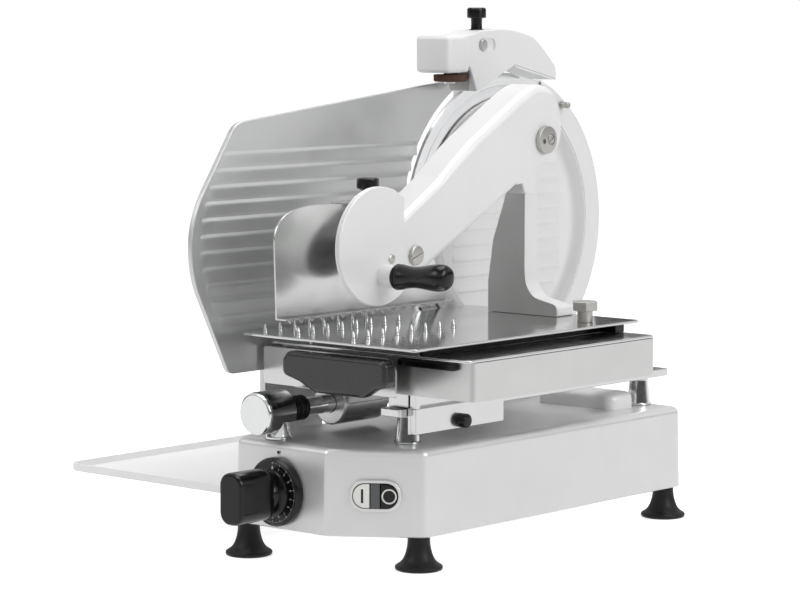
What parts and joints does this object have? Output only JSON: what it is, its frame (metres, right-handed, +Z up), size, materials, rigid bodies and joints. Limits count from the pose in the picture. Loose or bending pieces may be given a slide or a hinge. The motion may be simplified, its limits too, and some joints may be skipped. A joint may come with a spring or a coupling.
{
  "type": "meat slicer",
  "caption": "Vertical electric meat slicer with a large ring-guarded blade, ribbed gauge plate, spiked carriage table, press arm with round hand guard, sharpener and thickness dial.",
  "frame": {"origin": "the middle of the footprint's bounding box, on the surface that the feet stand on", "axes": "+X is the operator's right, +Y is the way the carriage travels, away from the operator, +Z is up"},
  "size_m": [0.544, 0.7066, 0.5781],
  "materials": {
    "cast_paint": "cast aluminium, sprayed light silver, satin",
    "base_metal": "cast aluminium, brushed and anodised, satin",
    "steel": "stainless sheet, polished",
    "brushed": "brushed steel",
    "chrome": "polished",
    "blade_steel": "hard chromed knife, mirror polished",
    "black_plastic": "glossy black",
    "rubber": "matt black",
    "stone": "brown grinding stone",
    "smoked": "smoked, glossy",
    "ivory": "off-white, satin"
  },
  "bodies": {
    "frame": {"base_housing": "base_metal", "bottom_cover": "brushed", "foot_front_left": "rubber", "foot_front_right": "rubber", "foot_rear_left": "rubber", "foot_rear_right": "rubber", "cable_gland": "black_plastic", "post_front_right": "chrome", "post_rear_right": "chrome", "post_front_left": "chrome", "post_rear_left": "chrome", "flat_rail": "steel", "guide_rod": "chrome", "rod_cap_front": "chrome", "rod_cap_rear": "chrome", "rod_bumper": "rubber", "ring_guard": "cast_paint", "blade_cover": "cast_paint", "head_casting": "cast_paint", "head_rear_cover": "cast_paint", "bearing_housing": "brushed", "drive_belt": "rubber", "motor_body": "cast_paint", "receiving_tray": "steel", "switch_frame": "black_plastic", "switch_lens": "smoked"},
    "blade_rotor": {"blade": "blade_steel", "blade_shaft": "brushed"},
    "motor_rotor_body": {"motor_rotor": "brushed"},
    "dial": {"dial_plate": "black_plastic", "dial_knob": "black_plastic", "dial_shaft": "brushed"},
    "gauge": {"gauge_plate": "brushed", "gauge_carrier": "cast_paint"},
    "on_button": {"button_on": "ivory"},
    "off_button": {"button_off": "black_plastic"},
    "carriage": {"carriage_box": "steel", "carriage_lid": "steel", "front_plate": "steel", "carriage_handle": "black_plastic", "grip_bar": "black_plastic", "rod_bearing": "brushed", "rail_bracket": "brushed"},
    "lock": {"lock_knob": "black_plastic"},
    "table": {"meat_table": "steel", "table_band": "black_plastic", "meat_wall": "brushed", "stop_bolt": "chrome"},
    "arm": {"press_arm": "cast_paint", "arm_pivot_bolt": "chrome", "arm_lower_screw": "chrome", "hand_guard": "cast_paint", "arm_grip": "black_plastic", "press_plate": "steel"},
    "clamp": {"clamp_knob": "black_plastic"},
    "sharpener": {"sharpener_body": "cast_paint"},
    "stone_disc": {"sharpening_stone": "stone"},
    "deburring_disc": {"deburring_stone": "stone"},
    "sharpener_turn": {"sharpener_knob": "black_plastic"}
  },
  "joints": [
    {"name": "blade_spin", "type": "hinge", "parent": "frame", "child": "blade_rotor", "pos_m": [-0.016, 0.1748, 0.3274], "axis": [1, 0, 0], "continuous": true},
    {"name": "motor_spin", "type": "hinge", "parent": "frame", "child": "motor_rotor_body", "pos_m": [-0.066, 0.1748, 0.08], "axis": [1, 0, 0], "continuous": true},
    {"name": "dial_turn", "type": "hinge", "parent": "frame", "child": "dial", "pos_m": [0.057, -0.282, 0.0755], "axis": [0, -1, 0], "range_deg": [0, 300]},
    {"name": "gauge_slide", "type": "slide", "parent": "frame", "child": "gauge", "axis": [-1, 0, 0], "range_m": [0, 0.015]},
    {"name": "carriage_slide", "type": "slide", "parent": "frame", "child": "carriage", "axis": [0, 1, 0], "range_m": [0, 0.3]},
    {"name": "lock_turn", "type": "hinge", "parent": "carriage", "child": "lock", "pos_m": [0.188, -0.1402, 0.148], "axis": [1, 0, 0], "range_deg": [0, 360]},
    {"name": "table_slide", "type": "slide", "parent": "carriage", "child": "table", "axis": [1, 0, 0], "range_m": [0, 0.055]},
    {"name": "arm_swing", "type": "hinge", "parent": "table", "child": "arm", "pos_m": [0.13, 0.0698, 0.433], "axis": [-1, 0, 0], "range_deg": [0, 60]},
    {"name": "clamp_turn", "type": "hinge", "parent": "arm", "child": "clamp", "pos_m": [0.075, -0.1607, 0.376], "axis": [0, 0, 1], "range_deg": [0, 360]},
    {"name": "sharpener_slide", "type": "slide", "parent": "frame", "child": "sharpener", "axis": [0, 0, -1], "range_m": [0, 0.008]},
    {"name": "stone_spin", "type": "hinge", "parent": "sharpener", "child": "stone_disc", "pos_m": [0.011, 0.0488, 0.4995], "axis": [0, 0, 1], "continuous": true},
    {"name": "deburr_spin", "type": "hinge", "parent": "sharpener", "child": "deburring_disc", "pos_m": [0.011, 0.1218, 0.508], "axis": [0, 0, 1], "continuous": true},
    {"name": "sharpener_knob_turn", "type": "hinge", "parent": "sharpener", "child": "sharpener_turn", "pos_m": [0.012, 0.0931, 0.5505], "axis": [0, 0, 1], "range_deg": [0, 360]},
    {"name": "button_on_press", "type": "slide", "parent": "frame", "child": "on_button", "axis": [-0.5744, 0.8186, 0], "range_m": [0, 0.003], "stiffness_N_per_m": 250},
    {"name": "button_off_press", "type": "slide", "parent": "frame", "child": "off_button", "axis": [-0.5744, 0.8186, 0], "range_m": [0, 0.003], "stiffness_N_per_m": 250}
  ],
  "couplings": [
    {"joint": "motor_spin", "follows": "blade_spin", "ratio": 3.7},
    {"joint": "dial_turn", "follows": "gauge_slide", "rad_per_m": 349.06}
  ]
}
